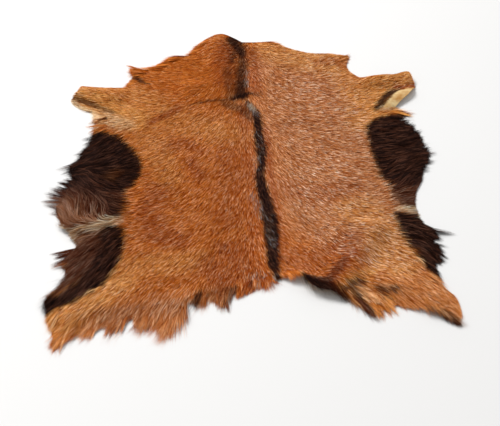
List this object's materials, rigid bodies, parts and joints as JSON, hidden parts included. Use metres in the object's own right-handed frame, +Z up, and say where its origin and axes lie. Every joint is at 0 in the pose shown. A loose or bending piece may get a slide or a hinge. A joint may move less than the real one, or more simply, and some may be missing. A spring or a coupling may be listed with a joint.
{
  "type": "hair-on goat hide rug",
  "caption": "Tanned goat skin with its hair on, laid flat hair side up, with neck, legs, dark back stripe, dark flanks and a ragged rim of locks.",
  "frame": {"origin": "on the floor, under the middle of the hide's box", "axes": "+X across the hide to the right of the neck seen from above, +Y along the back from the rump to the neck, +Z up out of the hair"},
  "size_m": [0.8267, 0.9744, 0.0339],
  "materials": {
    "hair": "short ginger goat hair lying flat, black stripe and flanks, cream streaks",
    "skin": "pale tanned flesh side, matt suede"
  },
  "bodies": {
    "root": {"hide": "hair"}
  },
  "joints": []
}
